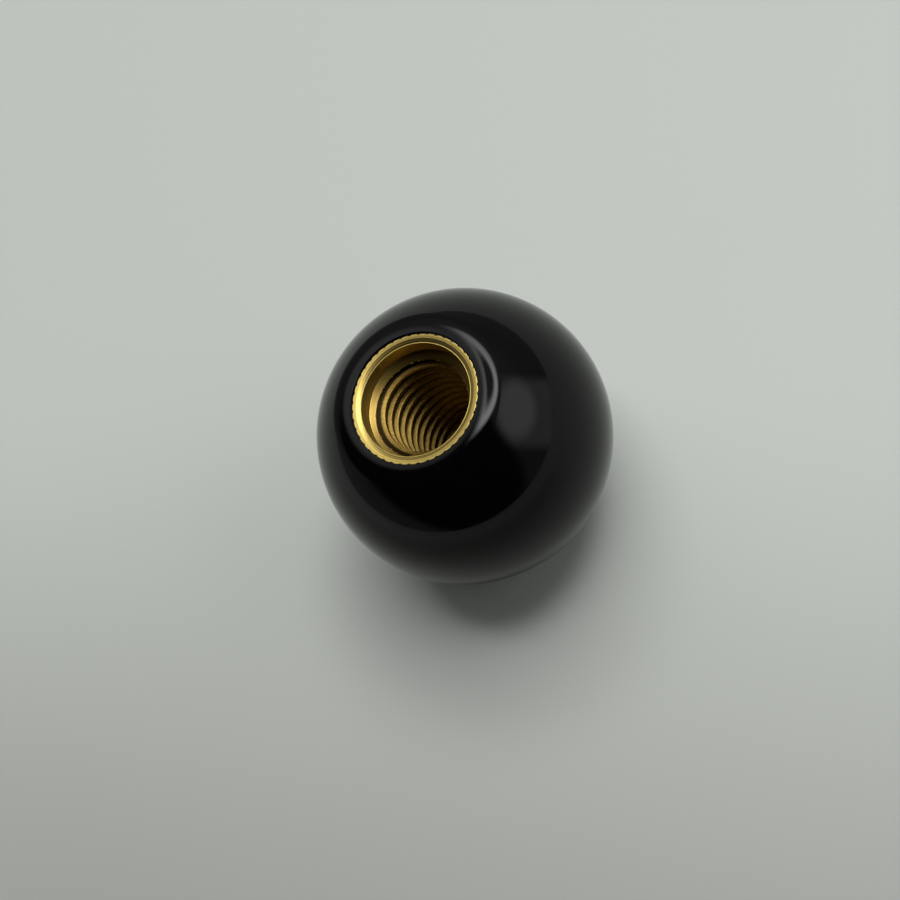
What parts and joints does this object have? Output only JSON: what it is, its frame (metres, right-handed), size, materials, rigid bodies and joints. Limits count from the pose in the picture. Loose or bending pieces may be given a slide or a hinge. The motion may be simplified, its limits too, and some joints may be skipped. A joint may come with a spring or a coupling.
{
  "type": "ball grip",
  "caption": "Round black phenolic ball knob with a knurled brass insert and a blind threaded hole, screwed onto a lever or handle end.",
  "frame": {"origin": "centre of the mouth, on the flat seat moulded round it", "axes": "+Z along the thread's axis, out of the mouth; the ball lies below the seat"},
  "size_m": [0.035, 0.035, 0.0324],
  "materials": {
    "phenolic": "black phenolic moulding, tumbled to a high gloss",
    "brass": "bare turned brass with fine tool marks"
  },
  "bodies": {
    "root": {"ball": "phenolic", "threaded_insert": "brass"}
  },
  "joints": []
}
